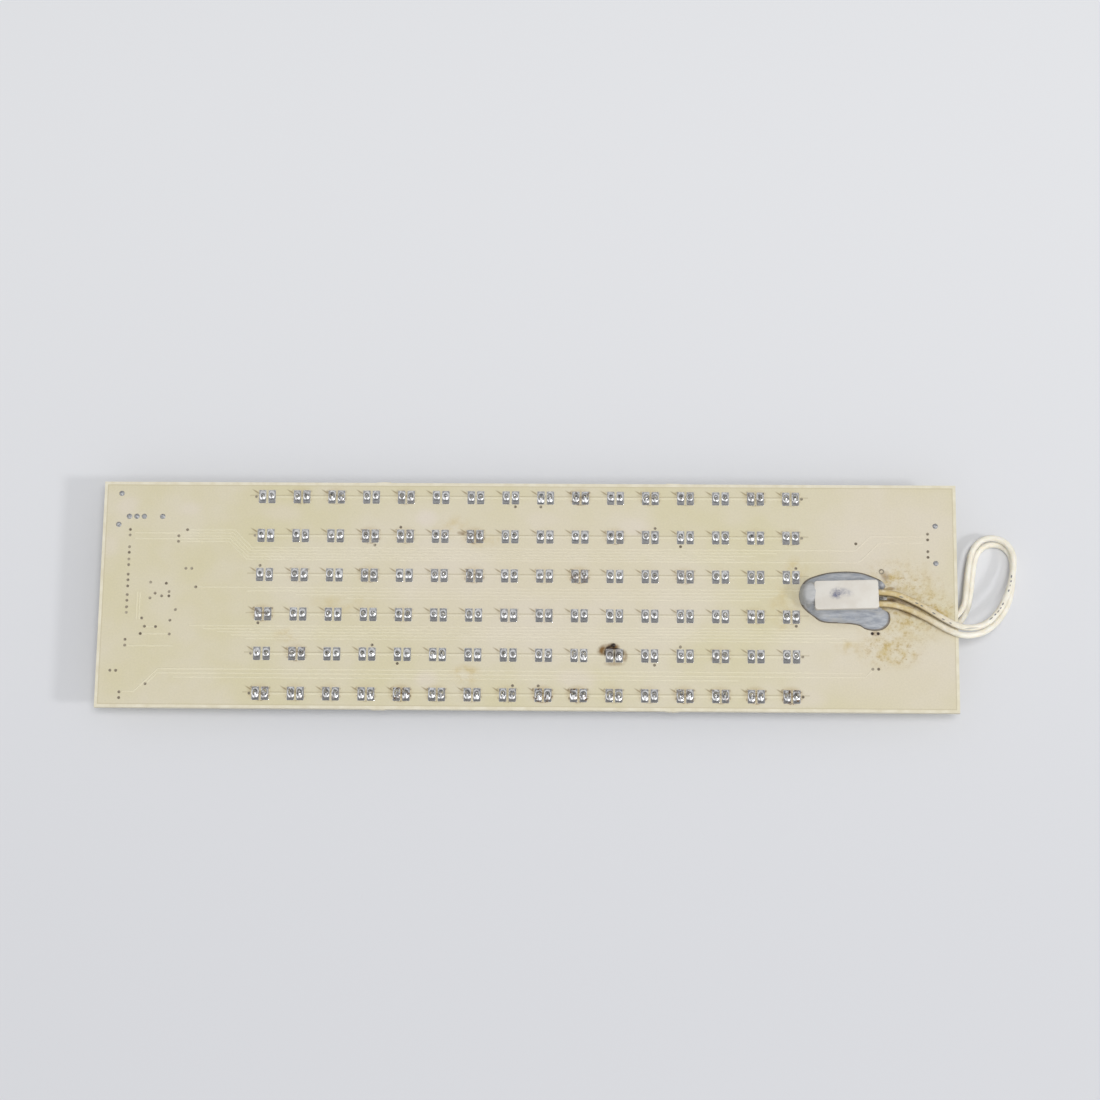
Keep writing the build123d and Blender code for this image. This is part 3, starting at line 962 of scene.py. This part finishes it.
# Lamps on the underside
def lens_profile():
    dome_start = front_z - lens_radius
    profile = [
        (flange_radius - flange_round, 0.0), (flange_radius, flange_round),
        (flange_radius, flange_height - flange_bevel), (flange_radius - flange_bevel, flange_height),
        (lens_radius + neck_width, flange_height), (lens_radius, flange_height + neck_height),
        (lens_radius, dome_start / 2),
    ]
    for ring in range(lens_rings):
        angle = math.pi / 2 * ring / lens_rings
        profile.append((lens_radius * math.cos(angle), dome_start + lens_radius * math.sin(angle)))
    profile.append((lens_tip, front_z))
    return profile


def lead_frame(shape, x, y):
    """The anvil with its cup of phosphor and the post beside it, hanging from the board inside the lens."""
    for outline in (anvil_outline, post_outline):
        rings = []
        for offset in (-blade_thickness / 2, blade_thickness / 2):
            rings.append([(x + across, y + offset, front_z - depth) for across, depth in outline])
        close_rings(shape, rings)
    cup = (x + cup_x, y, front_z - cup_depth)
    turned(shape, cup, cup_profile, cup_sides, down=True)
    turned(shape, cup, phosphor_profile, cup_sides, down=True, material=1)


def build_lamps():
    profile = lens_profile()
    for row in range(row_count):
        lenses = bmesh.new()
        frames = bmesh.new()
        for column in range(column_count):
            x, y = lamp_x(column), lamp_y(row)
            turned(lenses, (x, y, front_z), profile, lens_sides, down=True, flat=flange_flat)
            lead_frame(frames, x, y)
        add_piece(f"lenses_{row + 1}", lenses, [clear_epoxy], "lens", [f"led_row_{row + 1}"], sharp=50)
        add_piece(f"lead_frames_{row + 1}", frames, [tinned, phosphor], "tinned_metal")


# Solder in the larger holes and on the supply pins
def build_domes():
    for node in ("test_points", "supply_solder"):
        copy = cad_copy(node)
        middles = [(low + high) / 2 for low, high in separate_groups(copy.faces)]
        copy.free()
        shape = bmesh.new()
        for x, y in sorted((middle.x, middle.y) for middle in middles):
            turned(shape, (x, y, back_z), dome_profile, dome_sides)
        add_piece(f"{node}_domes", shape, [dull_tin], "solder", [node], sharp=60)


# Adhesive and wires of the thermal cut-out
def smooth_loop(points, count):
    """Points spaced along a smooth closed curve through the given ones."""
    loop = []
    for step in range(count):
        share = step / count * len(points)
        number = int(share)
        t = share - number
        p0, p1, p2, p3 = (Vector(points[(number + shift) % len(points)]) for shift in (-1, 0, 1, 2))
        loop.append(0.5 * (2 * p1 + (p2 - p0) * t + (2 * p0 - 5 * p1 + 4 * p2 - p3) * t ** 2
                           + (3 * p1 - p0 - 3 * p2 + p3) * t ** 3))
    return loop


def in_case(point):
    """A board place in the case's own axes."""
    return Matrix.Rotation(-cutout_turn, 2) @ (point - cutout_centre)


def unevenness(point, scale, layer):
    return noise.noise(Vector((point.x * scale[0], point.y * scale[1], layer)))


def adhesive_height(point, share):
    """Height of the adhesive over the board: a rounded rim, a streaked bed and lumps."""
    local = in_case(point)
    rim = math.sqrt(max(1 - max(share - rim_start, 0) ** 2 / rim_reach ** 2, 0.0))
    streak = streak_height * unevenness(point, streak_scale, 0.0)
    ripple = ripple_height * unevenness(point, ripple_scale, ripple_layer)
    height = (bed_height + streak + ripple) * rim
    gap = Vector((max(abs(local.x) - cutout_half.x, 0), max(abs(local.y) - cutout_half.y, 0))).length
    climb = climb_below if local.y < -cutout_half.y / 2 else climb_height
    height += climb * math.exp(-gap / climb_reach) * rim
    for lump_x, lump_y, reach_x, reach_y, crest in bed_lumps:
        far = ((local.x - lump_x) / reach_x) ** 2 + ((local.y - lump_y) / reach_y) ** 2
        if far < 1:
            height = max(height, crest * math.sqrt(1 - far * far) + streak)
    if min(cutout_half.x - abs(local.x), cutout_half.y - abs(local.y)) > hidden_depth:
        height = min(height, bed_floor)
    return height


def build_adhesive():
    """Rings from the outline in to the middle of the case, anticlockwise so that their faces look out."""
    shape = bmesh.new()
    loop = smooth_loop(bed_outline, bed_sides)[::-1]
    shares = [1 - (1 - step / bed_rings) ** bed_crowding for step in range(1, bed_rings + 1)]
    rings = [[(*point, back_z) for point in loop]]
    for share in reversed(shares):
        ring = []
        for point in loop:
            place = cutout_centre + (point - cutout_centre) * share
            rise = adhesive_height(place, share) if share < 1 else 0.0
            ring.append((*place, back_z + max(rise, bed_least)))
        rings.append(ring)
    close_rings(shape, rings)
    add_piece("adhesive", shape, [grey_adhesive], "adhesive", ["adhesive_bed"], sharp=70)


def build_wire(name, route):
    """One insulated wire along its route."""
    curve = bpy.data.curves.new(name, "CURVE")
    curve.dimensions = "3D"
    curve.bevel_depth = wire_diameter / 2 * MM
    curve.bevel_resolution = 5
    curve.use_fill_caps = True
    spline = curve.splines.new("NURBS")
    spline.points.add(len(route) - 1)
    for point, place in zip(spline.points, route):
        point.co = (*(Vector(place) * MM), 1)
    spline.order_u = 3
    spline.use_endpoint_u = True
    spline.resolution_u = 8
    curve.materials.append(cream_wire)
    piece = link(name, curve)
    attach(piece, "root")
    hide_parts(name.replace("lead", "wire"))
    Vector(route[0]) * MM


# Burnt flux at one joint
def build_scorch():
    """A bead of burnt flux, a little out of round."""
    shape = bmesh.new()
    start, end = (math.radians(angle) for angle in bead_angles)
    foot = math.sin(start)
    profile = []
    for ring in range(bead_rings + 1):
        angle = start + (end - start) * ring / bead_rings
        profile.append((bead_radius * math.cos(angle), bead_height * (math.sin(angle) - foot) / (1 - foot)))
    turned(shape, (*bead_centre, back_z + mask_height), profile, bead_sides)
    for vert in shape.verts:
        wander = noise.noise_vector(vert.co * bead_grain) * bead_wander
        vert.co.x += wander.x
        vert.co.y += wander.y
    add_piece("scorched_flux", shape, [scorched], "moulded_black", sharp=180)


# Parts that take their shape from the CAD, with rounded edges
def build_rounded():
    for name, (node, material, slot, bevel, segments) in {
        "cutout_shell": ("cutout_case", white_case, "case_white", 0.16, 3),
        "cutout_potting": ("cutout_seal", potting, "moulded_black", 0.12, 2),
        "cutout_tongue": ("cutout_tab", tinned, "tinned_metal", 0.05, 2),
        "header_strip": ("supply_header", black, "moulded_black", 0.12, 2),
        "header_pins": ("supply_pins", brass, "pin_metal", 0.1, 2),
        "wire_solder_upper": ("wire_joint_upper", solder, "solder", 0.45, 4),
        "wire_solder_lower": ("wire_joint_lower", solder, "solder", 0.45, 4),
        "chip_body": ("driver_chip", black, "moulded_black", 0.1, 2),
    }.items():
        shape = cad_copy(node)
        edges = [edge for edge in shape.edges if edge.calc_face_angle(0.0) > edge_angle]
        bmesh.ops.bevel(shape, geom=edges, offset=bevel, segments=segments, profile=0.5, affect="EDGES")
        add_piece(name, shape, [material], slot, [node])


# Parts on the lamp side
def build_resistors():
    """Ceramic bodies with a tinned cap at each end."""
    for number in range(1, resistor_count + 1):
        node = f"ballast_resistor_{number}"
        low, high = node_box(node)
        shape = bmesh.new()
        body_low = low + Vector((body_start, body_inset, body_inset))
        body_high = high - Vector((body_start, body_inset, 0))
        block(shape, body_low, body_high, body_round)
        for cap_x in (low.x, high.x - cap_length):
            cap_low = (cap_x, low.y, low.z)
            block(shape, cap_low, (cap_x + cap_length, high.y, high.z), cap_round, material=1)
        add_piece(f"resistor_{number}", shape, [ceramic, tinned], "resistor", [node])


def build_terminals():
    """The terminals along two sides of the driver chip, and the dot at its first one."""
    low, high = node_box("driver_chip")
    shape = bmesh.new()
    pitch = (high.x - low.x) / (terminal_count + 0.5)
    for step in range(terminal_count):
        x = low.x + (step + 0.75) * pitch
        for edge_y in (low.y, high.y):
            foot = (x, edge_y - terminal_reach, high.z - terminal_height)
            block(shape, foot, (x + terminal_width, edge_y + terminal_reach, high.z), terminal_round)
    dot = (low.x + dot_inset, high.y - dot_inset, low.z + dot_sink)
    turned(shape, dot, dot_profile, dot_sides, down=True)
    add_piece("chip_terminals", shape, [tinned], "tinned_metal")


build_board()
build_traces()
build_joints()
build_lamps()
build_domes()
build_adhesive()
build_rounded()
build_wire("lead_upper", upper_route)
build_wire("lead_lower", lower_route)
build_scorch()
build_resistors()
build_terminals()


# Floor, camera and light; the far floor glows as bright as the backdrop above it
floor_reach = 6.0
light_distance = 3.0
sky_tone = (253.9, 254.4, 255)
backdrop_tone = (224, 225, 228)


def build_floor():
    paint = new_material("pale_floor")
    place = paint.place()
    # Painted light: the near floor grows brighter towards the far side
    away = paint.ramp(paint.part(place, "Y"), -150.0, 170.0)
    tone = paint.mix((217, 218, 222), (228, 229, 232), away)
    far = paint.ramp(paint.vector("LENGTH", place), 350.0, 900.0)
    material = paint.finish(
        Base_Color=paint.mix(tone, (0, 0, 0), far),
        Roughness=0.6,
        Specular_IOR_Level=0.0,
        Emission_Color=backdrop_tone,
        Emission_Strength=far,
    )
    mesh = bpy.data.meshes.new("floor")
    corners = [(x * floor_reach, y * floor_reach, 0) for x, y in corner_signs]
    mesh.from_pydata(corners, [], [(0, 1, 2, 3)])
    mesh.materials.append(material)
    floor = link("floor", mesh)


def build_camera():
    place = Vector((31.93, -185.9, 810.36)) * MM
    forward = Vector((-0.0309, 0.2416, -0.9699)).normalized()
    up = Vector((-0.0056, 0.9703, 0.2419))
    right = forward.cross(up).normalized()
    up = right.cross(forward)
    data = bpy.data.cameras.new("camera")
    data.sensor_width = 36.0
    data.lens = 94.68
    data.clip_start = 0.01
    camera = link("camera", data)
    camera.matrix_world = Matrix.Translation(place) @ Matrix((right, up, -forward)).transposed().to_4x4()
    scene.camera = camera


def area_light(name, direction, size, power, mirrored):
    data = bpy.data.lights.new(name, "AREA")
    data.shape = "DISK"
    data.size = size
    data.energy = power
    light = link(name, data)
    light.location = Vector(direction).normalized() * light_distance
    light.rotation_mode = "QUATERNION"
    light.rotation_quaternion = (-light.location).to_track_quat("-Z", "Y")
    light.visible_glossy = mirrored


def build_light():
    """A key from the right, a broad lamp overhead, and a sky with a dark hood and two windows for metal."""
    area_light("key", (0.77, -0.24, 0.59), size=0.41, power=20.0, mirrored=True)
    area_light("broad", (0.12, -0.1, 0.98), size=1.2, power=39.4, mirrored=False)
    world = bpy.data.worlds.new("studio")
    scene.world = world
    paint = Shading(world, "Background")
    direction = paint.add("ShaderNodeTexCoord", {}, "Generated")
    height = paint.part(direction, "Z")

    def patch(middle, rim, core, outside, inside):
        """A round patch of the sky, its rim and core given as angles from its middle."""
        near = paint.vector("DOT_PRODUCT", direction, middle)
        low, high = (math.cos(math.radians(angle)) for angle in (rim, core))
        return paint.ramp(near, low, high, outside, inside)

    def ray(kind):
        return paint.add("ShaderNodeLightPath", {}, f"Is {kind} Ray")

    def choose(first, second, choice):
        return paint.add("ShaderNodeMix", {0: choice, 2: first, 3: second}, 0, data_type="FLOAT")

    hood = patch((-0.05, -0.09, 0.99), 32, 12, 1.0, 0.25)
    right_window = patch((0.55, -0.37, 0.75), 28, 12, 0.0, 1.5)
    left_window = patch((-0.69, -0.16, 0.71), 30, 12, 0.0, 0.8)
    front = patch((0.1, -0.95, 0.3), 60, 20, 0.0, 0.2)
    mirrored = paint.product(paint.ramp(height, 0.12, 0.5, 0.14, 0.9), hood)
    mirrored = paint.math("ADD", mirrored, paint.math("ADD", right_window, left_window))
    soft = paint.math("ADD", paint.ramp(height, 0.15, 0.6, 0.32, 0.42), front)
    seen = paint.math("MAXIMUM", ray("Camera"), ray("Transmission"))
    level = choose(choose(soft, mirrored, ray("Glossy")), 1.0, seen)
    paint.finish(Color=paint.mix(sky_tone, backdrop_tone, seen), Strength=level)


build_floor()
build_camera()
build_light()
